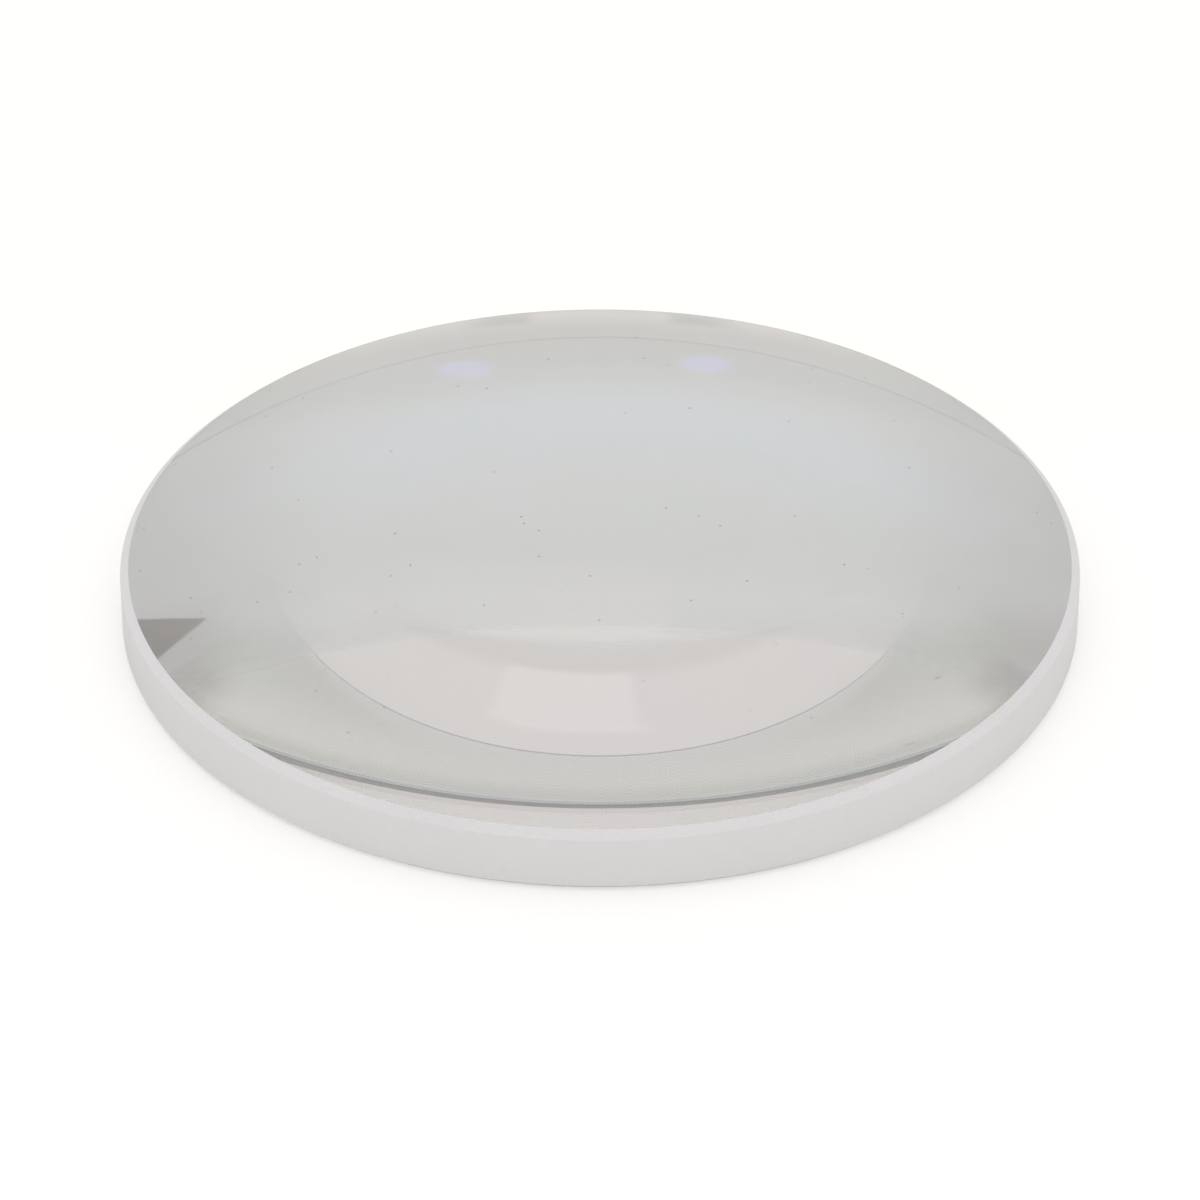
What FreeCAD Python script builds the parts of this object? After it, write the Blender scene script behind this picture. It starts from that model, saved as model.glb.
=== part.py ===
"""Plano-convex aspheric lens with a ground edge, lying on its flat face.

Millimetres. +Z is the optical axis and the origin is the middle of the flat face.

The lens is one body of revolution, so one half section holds its whole shape: a
flat polished face, a ground bevel, a ground cylindrical edge, a second ground
bevel and the polished aspheric dome.

The dome follows the usual formula of optical drawings, with a conic constant of
-1 and one higher term. Its sag below the vertex, at distance r from the axis, is
    r^2 / (2 R) + A r^4
where R is the vertex radius. That is a polynomial of the fourth degree, so one
curve of that degree with five poles is the section exactly. With both terms
taken at the dome's rim, square = rim^2 / (2 R) and fourth = A rim^4, the poles
stand at quarters of the rim radius and lie below the vertex by
    0,  0,  square / 6,  square / 2,  square + fourth.
"""
import FreeCAD, Part
import os
import Sketcher

DRIVING_SIZES = [
    ("diameter", 75.0, "outside of the ground edge"),
    ("edge_height", 4.1, "cylindrical part of the edge"),
    ("dome_bevel_rise", 0.57, "height of the bevel around the dome"),
    ("dome_bevel_width", 0.66, "how far that bevel reaches in from the edge"),
    ("flat_bevel", 0.3, "height and width of the bevel around the flat face"),
    ("vertex_radius", 71.5, "R of the dome at its vertex"),
    ("fourth_term", 0.13, "A of the dome, in millionths per cubic millimetre"),
]


def make_sheet(doc):
    """The driving sizes, one a row: name, value, what it measures."""
    sheet = doc.addObject("Spreadsheet::Sheet", "Sizes")
    for row, (name, value, meaning) in enumerate(DRIVING_SIZES, start=1):
        sheet.set("A%d" % row, name)
        sheet.set("B%d" % row, str(value))
        sheet.set("C%d" % row, meaning)
        sheet.setAlias("B%d" % row, name)
    rows = len(DRIVING_SIZES)
    worked_out = [
        ("rim_radius", "=diameter / 2 - dome_bevel_width", "where the dome meets its bevel"),
        ("square_sag", "=rim_radius ^ 2 / (2 * vertex_radius)", "square term at the rim"),
        ("fourth_sag", "=fourth_term / 10 ^ 6 * rim_radius ^ 4", "fourth term at the rim"),
    ]
    for row, (name, formula, meaning) in enumerate(worked_out, start=rows + 1):
        sheet.set("A%d" % row, name)
        sheet.set("B%d" % row, formula)
        sheet.set("C%d" % row, meaning)
        sheet.setAlias("B%d" % row, name)
    doc.recompute()
    return sheet


def origin_plane(body, role):
    """One of the body's own origin planes."""
    return next(part for part in body.Origin.OriginFeatures if part.Role == role)


def half_section(body, sheet):
    """The lens's half section in the XZ plane: flat face, edge, dome, and back down the axis."""
    edge_r = sheet.diameter / 2
    rim_r = sheet.rim_radius
    edge_low_z = sheet.flat_bevel
    edge_high_z = edge_low_z + sheet.edge_height
    rim_z = edge_high_z + sheet.dome_bevel_rise
    top_z = rim_z + sheet.square_sag + sheet.fourth_sag

    def point(x, z):
        return FreeCAD.Vector(x, z, 0)

    def line(start, end):
        return sketch.addGeometry(Part.LineSegment(start, end), False)

    sketch = body.newObject("Sketcher::SketchObject", "HalfSection")
    sketch.AttachmentSupport = [(origin_plane(body, "XZ_Plane"), "")]
    sketch.MapMode = "FlatFace"

    flat = line(point(0, 0), point(edge_r - sheet.flat_bevel, 0))
    flat_bevel = line(point(edge_r - sheet.flat_bevel, 0), point(edge_r, edge_low_z))
    edge = line(point(edge_r, edge_low_z), point(edge_r, edge_high_z))
    dome_bevel = line(point(edge_r, edge_high_z), point(rim_r, rim_z))
    axis = line(point(0, top_z), point(0, 0))

    drops = [0, 0, sheet.square_sag / 6, sheet.square_sag / 2,
             sheet.square_sag + sheet.fourth_sag]
    poles = [point(rim_r * i / 4, top_z - drop) for i, drop in enumerate(drops)]
    curve = Part.BSplineCurve()
    curve.buildFromPolesMultsKnots(poles, [5, 5], [0, 1], False, 4)
    dome = sketch.addGeometry(curve, False)

    def tie(*constraint):
        return sketch.addConstraint(Sketcher.Constraint(*constraint))

    def size(name, formula, *constraint):
        """A dimension that reads the sheet."""
        sketch.renameConstraint(tie(*constraint), name)
        sketch.setExpression("Constraints." + name, formula)

    tie("Coincident", flat, 1, -1, 1)
    tie("PointOnObject", flat, 2, -1)
    tie("Coincident", flat, 2, flat_bevel, 1)
    tie("Coincident", flat_bevel, 2, edge, 1)
    tie("Vertical", edge)
    tie("Coincident", edge, 2, dome_bevel, 1)
    tie("Coincident", dome_bevel, 2, dome, 2)
    tie("Coincident", dome, 1, axis, 1)
    tie("PointOnObject", axis, 1, -2)
    tie("Coincident", axis, 2, -1, 1)

    size("EdgeRadius", "Sizes.diameter / 2", "DistanceX", -1, 1, edge, 1, edge_r)
    size("FlatBevelWidth", "Sizes.flat_bevel",
         "DistanceX", flat_bevel, 1, flat_bevel, 2, sheet.flat_bevel)
    size("FlatBevelRise", "Sizes.flat_bevel",
         "DistanceY", flat_bevel, 1, flat_bevel, 2, sheet.flat_bevel)
    size("EdgeHeight", "Sizes.edge_height", "DistanceY", edge, 1, edge, 2, sheet.edge_height)
    size("DomeBevelWidth", "Sizes.dome_bevel_width",
         "DistanceX", dome_bevel, 2, dome_bevel, 1, sheet.dome_bevel_width)
    size("DomeBevelRise", "Sizes.dome_bevel_rise",
         "DistanceY", dome_bevel, 1, dome_bevel, 2, sheet.dome_bevel_rise)
    size("DomeHeight", "Sizes.square_sag + Sizes.fourth_sag",
         "DistanceY", dome, 2, dome, 1, sheet.square_sag + sheet.fourth_sag)

    first_pole = sketch.GeometryCount
    sketch.exposeInternalGeometry(dome)
    drop_formulas = ["0", "0", "Sizes.square_sag / 6", "Sizes.square_sag / 2"]
    for i in (1, 2, 3):
        pole = first_pole + i
        size("PoleOut%d" % i, "Sizes.rim_radius * %d / 4" % i,
             "DistanceX", -1, 1, pole, 3, poles[i].x)
        if i == 1:
            tie("Horizontal", axis, 1, pole, 3)
        else:
            size("PoleDrop%d" % i, drop_formulas[i],
                 "DistanceY", pole, 3, axis, 1, drops[i])
    return sketch


def make_lens(doc, sheet):
    """The half section turned once around the optical axis."""
    body = doc.addObject("PartDesign::Body", "Lens")
    body.Label = "lens"
    sketch = half_section(body, sheet)
    turned = body.newObject("PartDesign::Revolution", "Turned")
    turned.Profile = (sketch, [""])
    turned.ReferenceAxis = (sketch, ["V_Axis"])
    turned.Angle = 360
    sketch.Visibility = False
    body.Placement = FreeCAD.Placement()
    return body, sketch


def check(doc, bodies, sketches):
    """Stops before anything is written if an object failed or a body isn't one sound solid."""
    for item in doc.Objects:
        if "Invalid" in item.State or "Error" in item.State:
            raise RuntimeError("%s failed: %s" % (item.Name, item.State))
    for sketch in sketches:
        if sketch.solve() != 0 or not sketch.FullyConstrained:
            raise RuntimeError("%s isn't fully fixed by its constraints" % sketch.Name)
    for body in bodies:
        shape = body.Shape
        if shape.isNull() or not shape.isValid() or len(shape.Solids) != 1:
            raise RuntimeError("%s isn't one sound solid" % body.Label)


def main():
    doc = FreeCAD.newDocument("AsphericLens")
    sheet = make_sheet(doc)
    lens, sketch = make_lens(doc, sheet)
    doc.recompute()
    check(doc, [lens], [sketch])

    os.makedirs("parts", exist_ok=True)
    lens.Shape.exportStep("parts/%s.step" % lens.Label)

    box = lens.Shape.BoundBox
    print("lens: %.2f mm across, %.2f mm thick, %.1f cm3"
          % (box.XLength, box.ZLength, lens.Shape.Volume / 1000))


main()
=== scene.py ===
"""Plano-convex aspheric lens on a pale round table, seen from the front at about 34 degrees.

Metres, +Z up, the lens's axis on Z and its flat face on z = 0.
"""
import math

import bpy
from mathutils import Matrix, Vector


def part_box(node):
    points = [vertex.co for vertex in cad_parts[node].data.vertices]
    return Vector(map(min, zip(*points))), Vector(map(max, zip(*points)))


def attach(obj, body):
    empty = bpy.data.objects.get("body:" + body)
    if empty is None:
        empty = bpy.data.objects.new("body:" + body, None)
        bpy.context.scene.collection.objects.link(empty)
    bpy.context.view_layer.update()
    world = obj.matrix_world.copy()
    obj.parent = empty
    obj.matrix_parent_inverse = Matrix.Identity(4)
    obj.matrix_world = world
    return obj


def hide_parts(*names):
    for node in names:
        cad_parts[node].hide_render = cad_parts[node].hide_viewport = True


MM = 0.001

# The lens's own sizes, as in the CAD source. Its radius and height come from the frame.
EDGE_HEIGHT = 4.1 * MM
FLAT_BEVEL = 0.3 * MM
DOME_BEVEL_RISE = 0.57 * MM
DOME_BEVEL_WIDTH = 0.66 * MM
VERTEX_RADIUS = 71.5 * MM
FOURTH_TERM = 0.13e-6 / MM ** 3

# How finely the lens is turned: steps around it, and rings on its two faces.
STEPS_ROUND = 256
DOME_RINGS = 88
FLAT_RINGS = 6

# The polished glass: its index, the patches of its faint tint, and specks of dust, whose
# size is in shares of their spacing. A spread is the stretch of the noise, which is about
# 0.5 on average, over which one colour changes to the other.
GLASS_INDEX = 1.523
TINT_PATCH = 8 * MM
TINT_SPREAD = (0.38, 0.62)
DUST_SPACING = 2.4 * MM
DUST_EDGE = 0.050
DUST_CORE = 0.035

# The ground glass: its roughness, the share of light that it lets in from outside, and its
# grains, of which the fine ones have the given share.
GROUND_ROUGHNESS = 0.75
GROUND_CLEARNESS = 0.1
FINE_GRAIN = 0.22 * MM
BROAD_GRAIN = 9 * MM
FINE_SHARE = 0.6
GROUND_SPREAD = (0.30, 0.62)

# The camera, in lens radii where it says so.
CAMERA_ELEVATION = math.radians(33.84)
CAMERA_DISTANCE = 11.7
AIM_BEHIND_AXIS = 0.0065
AIM_HEIGHT = 0.20 * MM
PIXELS_PER_RADIUS = 476
PICTURE_WIDTH = 1200
SENSOR = 36.0

# The table: a pale disc with a thin two-tone dark strip standing around it, painted shade
# along its edge with a painted colour fringe along its top. The strip's colour changes over a
# stretch in shares of its height.
AIR_GAP = 0.1 * MM
TABLE_RADIUS = 205 * MM
SHADE_STRIP_FOOT = -2.0 * MM
SHADE_STRIP_HEIGHT = 2.0 * MM
SHADE_STRIP_CHANGE = (0.6, 0.8)
TABLE_STEPS = 160
TABLE_COLOUR = (0.625, 0.605, 0.585, 1)

# The light that the table adds of its own, so that it shows as a white ground: where it is
# looked at, and the extra where the outside of the lens mirrors it.
SEEN_LIFT = 0.43
MIRROR_LIFT = 0.09

# The same where it shows by way of the lens, from front to back: (y in lens radii, lift).
# This is painted light and shade on the table, lighter in some places and darker in others.
# Outside the lens, over the stretch BEYOND, it falls to LIFT_BEYOND.
LIFT_BY_PLACE = [(-0.30, 0.31), (-0.17, 0.375), (-0.11, 0.365), (0.20, 0.395), (0.40, 0.400),
                 (0.60, 0.345), (0.76, 0.325), (0.92, 0.405), (0.98, 0.37)]
LIFT_BEYOND = 0.02
BEYOND = (1.05, 1.16)

# Painted shade on the table where it shows by way of the lens: both sides, two corners in
# front and two patches at the back. Each has what it adds to the lift, and the stretches in lens
# radii over which that comes in.
SIDE_PAINTED_SHADE = -0.09
SIDE_OUT = (0.45, 0.95)
CORNER_PAINTED_SHADE = -0.08
CORNER_OUT = (0.66, 0.80)
CORNER_FORWARD = (-0.08, -0.20)
REAR_PAINTED_SHADE = -0.19
REAR_INNER = (0.125, 0.165)
REAR_OUTER = (0.32, 0.20)
REAR_BACK = (0.80, 0.88)

# A wedge of painted shade on its left, in front of one straight line and behind another. Each line
# is (slope, y where x is 0) in lens radii, and each side of the wedge has its own soft stretch.
WEDGE_PAINTED_SHADE = -0.25
WEDGE_FRONT_LINE = (-0.194, -0.320)
WEDGE_FRONT_EDGE = (0.0, 0.008)
WEDGE_REAR_LINE = (0.964, 0.557)
WEDGE_REAR_EDGE = (-0.004, 0.012)

# Where the light that the table adds of its own turns a little warmer, towards the back of the
# lens: a painted warm tint of light.
WARM_BACK = (0.55, 0.80)

# What the glass shows of the studio, by elevation in degrees.
STUDIO = [(-90, (0.70, 0.69, 0.65)), (-4, (0.722, 0.685, 0.672)), (25, (0.720, 0.683, 0.670)),
          (30, (0.675, 0.637, 0.620)), (60, (0.78, 0.77, 0.76)), (90, (0.88, 0.88, 0.88))]

# Patches of it: (bearings, how soft their ends are, elevations, how soft these ends are),
# in degrees. The bearing is 0 behind the lens.
PANEL = ((-5, 15), 1.0, (9, 28), 1.0)
STRIP = ((-7, 12), 2.0, (7.4, 9.6), 0.7)
BLUE_GLOW = ((-22, 27), 9, (18, 35), 6)

# The darker sides of it, as the outside of the lens mirrors them: the bearings and the
# elevations over which they come in.
DARK_SIDE_OUT = (17, 27)
DARK_SIDE_DOWN = (28, 12)

# Two narrow lamps behind the lens, mirrored by its dome: (bearing, elevation), and how far
# their light reaches across and along, all in degrees.
LAMPS = [(-6.8, 5.7), (5.3, 5.5)]
LAMP_ACROSS = 1.25
LAMP_ALONG = 3.6
LAMP_SOFTNESS = (1.7, 0.2)


def node(tree, kind, **values):
    """A shader node with its inputs set by name."""
    made = tree.nodes.new(kind)
    for name, value in values.items():
        made.inputs[name.replace("_", " ")].default_value = value
    return made


def maths(tree, operation, first, second=None, third=None):
    """A maths node; each value is a number or another node's output."""
    made = tree.nodes.new("ShaderNodeMath")
    made.operation = operation
    for i, value in enumerate((first, second, third)):
        if value is None:
            continue
        if isinstance(value, (int, float)):
            made.inputs[i].default_value = value
        else:
            tree.links.new(value, made.inputs[i])
    return made.outputs[0]


def step_up(tree, value, start, end):
    """0 at start, 1 at end, smooth between and level beyond. Start may be the larger."""
    made = tree.nodes.new("ShaderNodeMapRange")
    made.interpolation_type = "SMOOTHSTEP"
    made.inputs["From Min"].default_value = start
    made.inputs["From Max"].default_value = end
    tree.links.new(value, made.inputs["Value"])
    return made.outputs["Result"]


def mix(tree, amount, first, second, blend="MIX"):
    """The first colour with the second mixed in or, with blend "ADD", added.

    The amount is a node's output. Each colour is a colour or a node's output.
    """
    made = tree.nodes.new("ShaderNodeMix")
    made.data_type = "RGBA"
    made.blend_type = blend
    made.clamp_result = False
    for name, value in (("Factor_Float", amount), ("A_Color", first), ("B_Color", second)):
        socket = next(s for s in made.inputs if s.identifier == name)
        if hasattr(value, "node"):
            tree.links.new(value, socket)
        else:
            socket.default_value = value
    return next(s for s in made.outputs if s.identifier == "Result_Color")


def colour(red, green, blue):
    return (red, green, blue, 1)


def new_material(name):
    """An empty node material: the material, its tree and its output."""
    material = bpy.data.materials.new(name)
    material.use_nodes = True
    tree = material.node_tree
    tree.nodes.clear()
    return material, tree, tree.nodes.new("ShaderNodeOutputMaterial")


def coordinates(tree, kind):
    """A texture coordinate, and its x, y and z."""
    place = tree.nodes.new("ShaderNodeTexCoord").outputs[kind]
    split = tree.nodes.new("ShaderNodeSeparateXYZ")
    tree.links.new(place, split.inputs[0])
    return place, split.outputs["X"], split.outputs["Y"], split.outputs["Z"]


def rays(tree):
    """Three outputs, 1 for rays from the camera, by way of the lens, and off its outside."""
    path = tree.nodes.new("ShaderNodeLightPath")
    glossy = path.outputs["Is Glossy Ray"]
    refracted = path.outputs["Is Transmission Ray"]
    by_lens = maths(tree, "MAXIMUM", glossy, refracted)
    off_outside = maths(tree, "MULTIPLY", glossy, maths(tree, "SUBTRACT", 1, refracted))
    return path.outputs["Is Camera Ray"], by_lens, off_outside


def dome_sag(r):
    """How far the dome lies below its vertex at radius r."""
    return r * r / (2 * VERTEX_RADIUS) + FOURTH_TERM * r ** 4


def dome_slope(r):
    return r / VERTEX_RADIUS + 4 * FOURTH_TERM * r ** 3


def section(edge_r, top_z):
    """The half section from the middle of the flat face to the vertex.

    Each stretch is (points as (r, z), outward normals as (r, z), material number).
    """
    flat_r = edge_r - FLAT_BEVEL
    rim_r = edge_r - DOME_BEVEL_WIDTH
    edge_low = FLAT_BEVEL
    edge_high = edge_low + EDGE_HEIGHT
    rim_z = edge_high + DOME_BEVEL_RISE

    flat = [(flat_r * i / FLAT_RINGS, 0.0) for i in range(FLAT_RINGS + 1)]
    dome = []
    dome_normals = []
    for i in range(DOME_RINGS, -1, -1):
        r = rim_r * i / DOME_RINGS
        slope = math.atan(dome_slope(r))
        dome.append((r, top_z - dome_sag(r)))
        dome_normals.append((math.sin(slope), math.cos(slope)))
    diagonal = math.sqrt(0.5)
    steep = math.atan2(DOME_BEVEL_WIDTH, DOME_BEVEL_RISE)
    return [
        (flat, [(0, -1)] * len(flat), 0),
        ([flat[-1], (edge_r, edge_low)], [(diagonal, -diagonal)] * 2, 2),
        ([(edge_r, edge_low), (edge_r, edge_high)], [(1, 0)] * 2, 1),
        ([(edge_r, edge_high), (rim_r, rim_z)], [(math.cos(steep), math.sin(steep))] * 2, 3),
        (dome, dome_normals, 0),
    ]


def turned_mesh(name, stretches):
    """A closed mesh turned from the stretches, with their exact normals on every corner."""
    points = [(0.0, 0.0, 0.0)]
    rings = {}

    def ring(r, z):
        """The numbers of the vertices of one ring, made once. The axis has one vertex."""
        key = (round(r, 9), round(z, 9))
        if key not in rings:
            first = len(points)
            if r == 0:
                points.append((0.0, 0.0, z))
                rings[key] = [first] * STEPS_ROUND
            else:
                for step in range(STEPS_ROUND):
                    turn = 2 * math.pi * step / STEPS_ROUND
                    points.append((r * math.cos(turn), r * math.sin(turn), z))
                rings[key] = list(range(first, first + STEPS_ROUND))
        return rings[key]

    rings[(0.0, 0.0)] = [0] * STEPS_ROUND
    faces, slots, normals = [], [], []
    for line, line_normals, slot in stretches:
        for k in range(len(line) - 1):
            low, high = ring(*line[k]), ring(*line[k + 1])
            low_n, high_n = line_normals[k], line_normals[k + 1]
            for step in range(STEPS_ROUND):
                after = (step + 1) % STEPS_ROUND
                corners = [(low[step], step, low_n), (low[after], step + 1, low_n),
                           (high[after], step + 1, high_n), (high[step], step, high_n)]
                if low[step] == low[after]:
                    del corners[1]
                elif high[step] == high[after]:
                    del corners[2]
                faces.append([corner[0] for corner in corners])
                slots.append(slot)
                for _, at, (out, up) in corners:
                    turn = 2 * math.pi * at / STEPS_ROUND
                    normals.append((out * math.cos(turn), out * math.sin(turn), up))
    mesh = bpy.data.meshes.new(name)
    mesh.from_pydata(points, [], faces)
    mesh.polygons.foreach_set("use_smooth", [True] * len(faces))
    mesh.polygons.foreach_set("material_index", slots)
    mesh.update()
    mesh.normals_split_custom_set(normals)
    return mesh


def grain(tree, size):
    """Noise in the lens's own space, 0 to 1, in grains of about the given size."""
    place = tree.nodes.new("ShaderNodeTexCoord")
    noise = node(tree, "ShaderNodeTexNoise", Scale=1 / size, Detail=2.0, Roughness=0.6)
    tree.links.new(place.outputs["Object"], noise.inputs["Vector"])
    return noise.outputs["Fac"]


def polished_glass():
    """Clear glass with a faint uneven tint, a few specks, and weak lilac reflections."""
    material, tree, output = new_material("polished glass")
    glass = node(tree, "ShaderNodeBsdfPrincipled", Roughness=0.0, IOR=GLASS_INDEX,
                 Transmission_Weight=1.0, Specular_Tint=colour(0.42, 0.42, 0.62))
    place = tree.nodes.new("ShaderNodeTexCoord")
    specks = node(tree, "ShaderNodeTexVoronoi", Scale=1 / DUST_SPACING)
    tree.links.new(place.outputs["Object"], specks.inputs["Vector"])
    dust = step_up(tree, specks.outputs["Distance"], DUST_EDGE, DUST_CORE)
    patches = step_up(tree, grain(tree, TINT_PATCH), *TINT_SPREAD)
    tint = mix(tree, patches, colour(0.925, 0.948, 0.926), colour(0.936, 0.940, 0.944))
    tree.links.new(mix(tree, dust, tint, colour(0.52, 0.52, 0.51)), glass.inputs["Base Color"])
    tree.links.new(glass.outputs["BSDF"], output.inputs["Surface"])
    return material


def ground_glass(name, pale, dark, inside):
    """Fine-ground glass: matt from outside, and milky from within."""
    material, tree, output = new_material(name)
    glass = node(tree, "ShaderNodeBsdfPrincipled", Roughness=GROUND_ROUGHNESS, IOR=GLASS_INDEX)
    within = tree.nodes.new("ShaderNodeNewGeometry").outputs["Backfacing"]
    clear = maths(tree, "MULTIPLY_ADD", within, 1 - GROUND_CLEARNESS, GROUND_CLEARNESS)
    tree.links.new(clear, glass.inputs["Transmission Weight"])
    tone = maths(tree, "ADD", maths(tree, "MULTIPLY", grain(tree, FINE_GRAIN), FINE_SHARE),
                 maths(tree, "MULTIPLY", grain(tree, BROAD_GRAIN), 1 - FINE_SHARE))
    face = mix(tree, step_up(tree, tone, *GROUND_SPREAD), dark, pale)
    tree.links.new(mix(tree, within, face, inside), glass.inputs["Base Color"])
    tree.links.new(glass.outputs["BSDF"], output.inputs["Surface"])
    return material


def make_lens():
    """The lens, in place of the CAD solid. Returns its radius."""
    low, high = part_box("lens")
    edge_r = (high.x - low.x) / 2
    mesh = turned_mesh("lens_glass", section(edge_r, high.z))
    mesh.materials.append(polished_glass())
    cream, painted_shade_grey = colour(1.0, 1.0, 0.985), colour(0.68, 0.75, 0.79)
    mesh.materials.append(ground_glass("ground edge", colour(0.905, 0.905, 0.905),
                                       colour(0.875, 0.875, 0.875), cream))
    # The lower bevel is paler outside than the edge, painted light against the shade it sits in,
    # and grey-blue from within, painted shade.
    mesh.materials.append(ground_glass("ground lower bevel", colour(0.97, 0.97, 0.97),
                                       colour(0.93, 0.93, 0.93), painted_shade_grey))
    mesh.materials.append(ground_glass("ground upper bevel", colour(0.80, 0.785, 0.79),
                                       colour(0.76, 0.745, 0.75), cream))
    lens = bpy.data.objects.new("lens_glass", mesh)
    bpy.context.scene.collection.objects.link(lens)
    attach(lens, "root")
    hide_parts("lens")
    return edge_r


def lift_by_lens(tree, across, back, distance):
    """Painted light and shade on the table where it shows by way of the lens. Places are in lens
    radii.
    """
    side = maths(tree, "ABSOLUTE", across)
    lift = LIFT_BY_PLACE[0][1]
    for (start, first), (end, second) in zip(LIFT_BY_PLACE, LIFT_BY_PLACE[1:]):
        lift = maths(tree, "MULTIPLY_ADD", step_up(tree, back, start, end), second - first, lift)

    corner = maths(tree, "MULTIPLY", step_up(tree, side, *CORNER_OUT),
                   step_up(tree, back, *CORNER_FORWARD))
    rear = maths(tree, "MULTIPLY", step_up(tree, side, *REAR_INNER),
                 step_up(tree, side, *REAR_OUTER))
    rear = maths(tree, "MULTIPLY", rear, step_up(tree, back, *REAR_BACK))
    in_front = maths(tree, "SUBTRACT", maths(tree, "MULTIPLY_ADD", across, *WEDGE_FRONT_LINE), back)
    behind = maths(tree, "SUBTRACT", back, maths(tree, "MULTIPLY_ADD", across, *WEDGE_REAR_LINE))
    wedge = maths(tree, "MULTIPLY", step_up(tree, in_front, *WEDGE_FRONT_EDGE),
                  step_up(tree, behind, *WEDGE_REAR_EDGE))
    for amount, darker in ((step_up(tree, side, *SIDE_OUT), SIDE_PAINTED_SHADE), (corner, CORNER_PAINTED_SHADE),
                           (rear, REAR_PAINTED_SHADE), (wedge, WEDGE_PAINTED_SHADE)):
        lift = maths(tree, "MULTIPLY_ADD", amount, darker, lift)

    fall = maths(tree, "SUBTRACT", LIFT_BEYOND, lift)
    return maths(tree, "MULTIPLY_ADD", step_up(tree, distance, *BEYOND), fall, lift)


def table_material(lens_radius):
    """A matt table, lifted to plain white where it is looked at, less so by way of the lens,
    where the lift is painted light and shade.
    """
    material, tree, output = new_material("table")
    matt = node(tree, "ShaderNodeBsdfDiffuse", Color=TABLE_COLOUR)
    place, x, y, _ = coordinates(tree, "Object")
    length = tree.nodes.new("ShaderNodeVectorMath")
    length.operation = "LENGTH"
    tree.links.new(place, length.inputs[0])
    across, back, distance = (maths(tree, "DIVIDE", metres, lens_radius)
                              for metres in (x, y, length.outputs["Value"]))

    from_camera, by_lens, off_outside = rays(tree)
    strength = maths(tree, "MULTIPLY", from_camera, SEEN_LIFT)
    strength = maths(tree, "MULTIPLY_ADD", by_lens, lift_by_lens(tree, across, back, distance),
                     strength)
    strength = maths(tree, "MULTIPLY_ADD", off_outside, MIRROR_LIFT, strength)
    # Painted light: the table's added light is cooler by way of the lens and warmer towards the
    # back.
    cool = mix(tree, by_lens, colour(1, 1, 1), colour(0.985, 1.02, 1.05))
    tint = mix(tree, step_up(tree, back, *WARM_BACK), cool, colour(1.0, 0.98, 0.94))

    lift = node(tree, "ShaderNodeEmission")
    tree.links.new(tint, lift.inputs["Color"])
    tree.links.new(strength, lift.inputs["Strength"])
    both = tree.nodes.new("ShaderNodeAddShader")
    tree.links.new(matt.outputs["BSDF"], both.inputs[0])
    tree.links.new(lift.outputs["Emission"], both.inputs[1])
    tree.links.new(both.outputs["Shader"], output.inputs["Surface"])
    return material


def shade_strip_material():
    """Matt, blue-grey below as painted shade, and dull pink along the top as a painted colour
    fringe.
    """
    material, tree, output = new_material("shade_strip")
    matt = node(tree, "ShaderNodeBsdfDiffuse")
    _, _, _, z = coordinates(tree, "Object")
    start, end = (share * SHADE_STRIP_HEIGHT for share in SHADE_STRIP_CHANGE)
    upper = step_up(tree, z, start, end)
    tree.links.new(mix(tree, upper, colour(0.58, 0.60, 0.66), colour(0.68, 0.50, 0.54)),
                   matt.inputs["Color"])
    tree.links.new(matt.outputs["BSDF"], output.inputs["Surface"])
    return material


def make_table(lens_radius):
    """A round table with a thin strip of painted shade standing along its edge."""
    around = [(TABLE_RADIUS * math.sin(2 * math.pi * i / TABLE_STEPS),
               TABLE_RADIUS * math.cos(2 * math.pi * i / TABLE_STEPS)) for i in range(TABLE_STEPS)]
    floor = bpy.data.meshes.new("table")
    floor.from_pydata([(x, y, -AIR_GAP) for x, y in around], [],
                      [tuple(reversed(range(TABLE_STEPS)))])
    floor.materials.append(table_material(lens_radius))
    shade_strip = bpy.data.meshes.new("shade_strip")
    points = [(x, y, z) for z in (SHADE_STRIP_FOOT, SHADE_STRIP_HEIGHT) for x, y in around]
    sides = [(i, (i + 1) % TABLE_STEPS, TABLE_STEPS + (i + 1) % TABLE_STEPS, TABLE_STEPS + i)
             for i in range(TABLE_STEPS)]
    shade_strip.from_pydata(points, [], sides)
    shade_strip.materials.append(shade_strip_material())
    for mesh in (floor, shade_strip):
        piece = bpy.data.objects.new(mesh.name, mesh)
        bpy.context.scene.collection.objects.link(piece)


def between(tree, value, limits, soft):
    """1 between the two limits and 0 outside them, with soft ends."""
    low, high = limits
    return maths(tree, "MULTIPLY", step_up(tree, value, low - soft, low + soft),
                 step_up(tree, value, high + soft, high - soft))


def patch(tree, bearing, height, shape):
    """How much of a patch of the studio lies in a direction, 0 to 1."""
    bearings, side_soft, heights, end_soft = shape
    return maths(tree, "MULTIPLY", between(tree, bearing, bearings, side_soft),
                 between(tree, height, heights, end_soft))


def lamp(tree, bearing, height, middle):
    """How bright one narrow lamp is in a direction, 0 to 1."""
    turn, up = middle
    across = maths(tree, "DIVIDE", maths(tree, "SUBTRACT", bearing, turn), LAMP_ACROSS)
    along = maths(tree, "DIVIDE", maths(tree, "SUBTRACT", height, up), LAMP_ALONG)
    off = maths(tree, "ADD", maths(tree, "MULTIPLY", across, across),
                maths(tree, "MULTIPLY", along, along))
    return step_up(tree, off, *LAMP_SOFTNESS)


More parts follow.
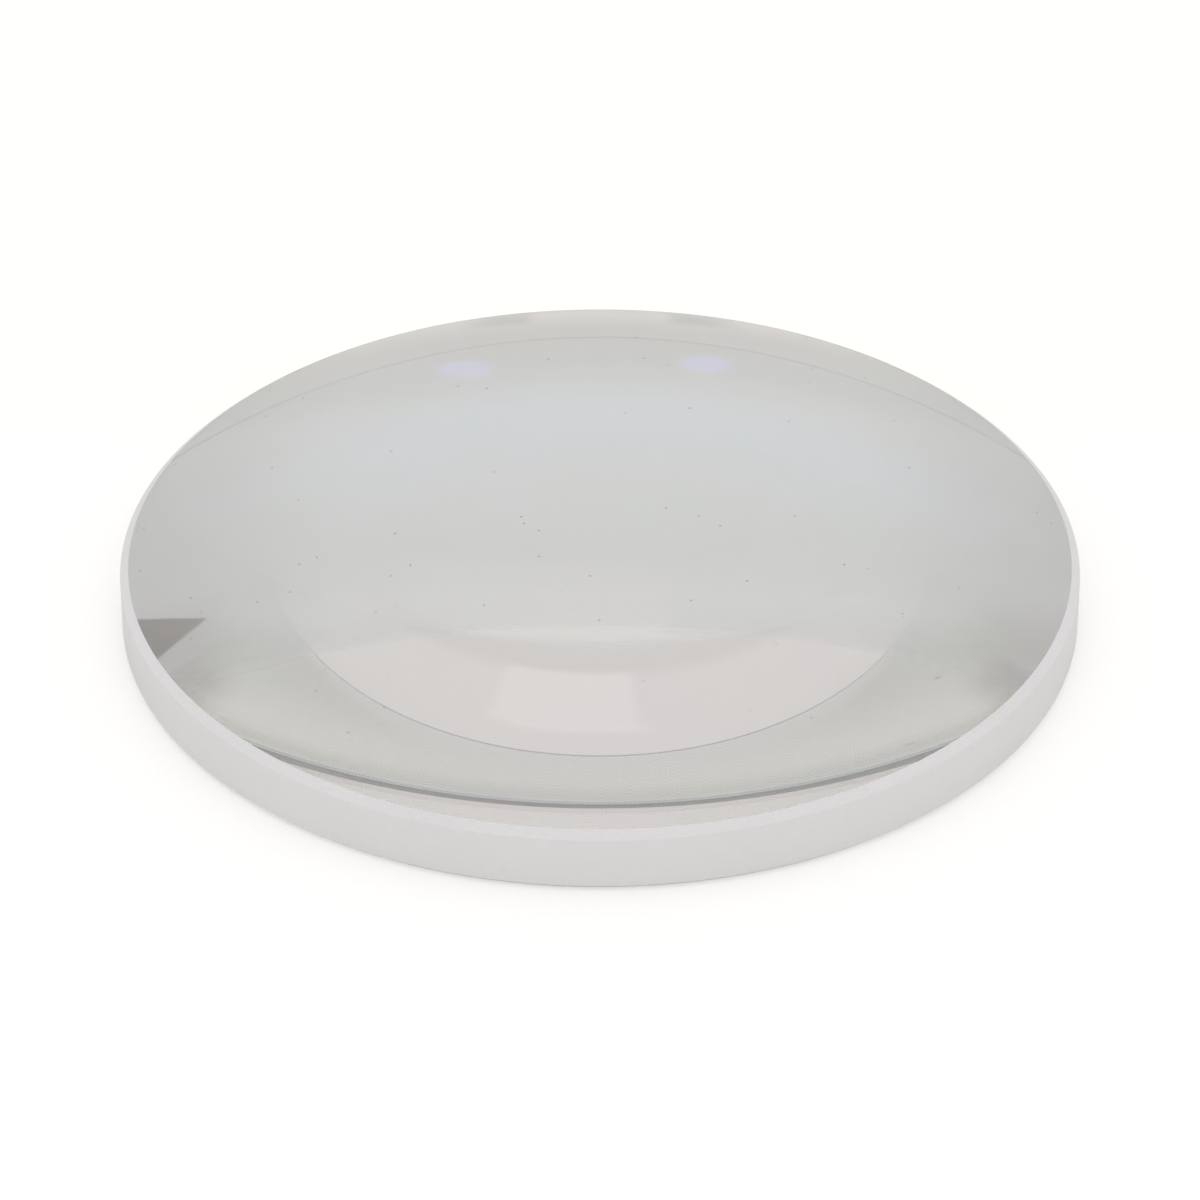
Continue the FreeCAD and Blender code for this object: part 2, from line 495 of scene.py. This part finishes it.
def studio_look(tree, bearing, height, off_outside):
    """The colour of the studio, as the lens shows it, for directions in degrees."""
    look = STUDIO[0][1] + (1,)
    for (start, _), (end, second) in zip(STUDIO, STUDIO[1:]):
        look = mix(tree, step_up(tree, height, start, end), look, second + (1,))
    look = mix(tree, patch(tree, bearing, height, PANEL), look, colour(0.771, 0.723, 0.712))
    look = mix(tree, patch(tree, bearing, height, STRIP), look, colour(0.035, 0.035, 0.035), "ADD")

    sides = maths(tree, "MULTIPLY",
                  step_up(tree, maths(tree, "ABSOLUTE", bearing), *DARK_SIDE_OUT),
                  step_up(tree, height, *DARK_SIDE_DOWN))
    glow = patch(tree, bearing, height, BLUE_GLOW)
    mirrored = [(sides, colour(-0.30, -0.28, -0.17)), (glow, colour(0.04, 0.12, 0.40))]
    mirrored += [(lamp(tree, bearing, height, middle), colour(0.16, 0.16, 0.66))
                 for middle in LAMPS]
    for amount, extra in mirrored:
        look = mix(tree, maths(tree, "MULTIPLY", off_outside, amount), look, extra, "ADD")
    return look


def make_world():
    """Even white light from all round; by way of the lens it is a softer, patchy studio."""
    world = bpy.data.worlds.new("studio")
    bpy.context.scene.world = world
    world.use_nodes = True
    world.cycles.sampling_method = "NONE"
    tree = world.node_tree
    tree.nodes.clear()
    output = tree.nodes.new("ShaderNodeOutputWorld")
    _, x, y, z = coordinates(tree, "Generated")
    height = maths(tree, "MULTIPLY", maths(tree, "ARCSINE", z), math.degrees(1))
    bearing = maths(tree, "MULTIPLY", maths(tree, "ARCTAN2", x, y), math.degrees(1))
    _, by_lens, off_outside = rays(tree)
    look = studio_look(tree, bearing, height, off_outside)
    light = node(tree, "ShaderNodeBackground", Strength=1.0)
    tree.links.new(mix(tree, by_lens, colour(1, 1, 1), look), light.inputs["Color"])
    tree.links.new(light.outputs["Background"], output.inputs["Surface"])


def make_camera(radius):
    """The camera, in front of the lens and above it."""
    camera = bpy.data.cameras.new("camera")
    camera.sensor_width = SENSOR
    camera.lens = SENSOR * PIXELS_PER_RADIUS * CAMERA_DISTANCE / PICTURE_WIDTH
    camera.clip_start = 0.01
    camera.clip_end = 20.0
    seat = bpy.data.objects.new("camera", camera)
    bpy.context.scene.collection.objects.link(seat)
    aim = Vector((0, AIM_BEHIND_AXIS * radius, AIM_HEIGHT))
    back = Vector((0, -math.cos(CAMERA_ELEVATION), math.sin(CAMERA_ELEVATION)))
    seat.location = aim + back * CAMERA_DISTANCE * radius
    seat.rotation_euler = (math.pi / 2 - CAMERA_ELEVATION, 0, 0)
    bpy.context.scene.camera = seat


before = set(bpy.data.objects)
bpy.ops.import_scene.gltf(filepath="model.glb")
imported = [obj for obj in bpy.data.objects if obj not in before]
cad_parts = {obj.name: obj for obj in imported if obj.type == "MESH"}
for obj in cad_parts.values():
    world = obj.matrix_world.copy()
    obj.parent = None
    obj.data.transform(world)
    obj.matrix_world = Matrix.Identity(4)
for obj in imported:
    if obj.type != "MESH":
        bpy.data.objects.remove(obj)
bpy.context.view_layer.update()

bpy.context.scene.view_settings.view_transform = "Standard"
bpy.context.scene.cycles.max_bounces = 10
bpy.context.scene.cycles.diffuse_bounces = 2
bpy.context.scene.cycles.glossy_bounces = 6
bpy.context.scene.cycles.transmission_bounces = 8
lens_radius = make_lens()
make_table(lens_radius)
make_world()
make_camera(lens_radius)
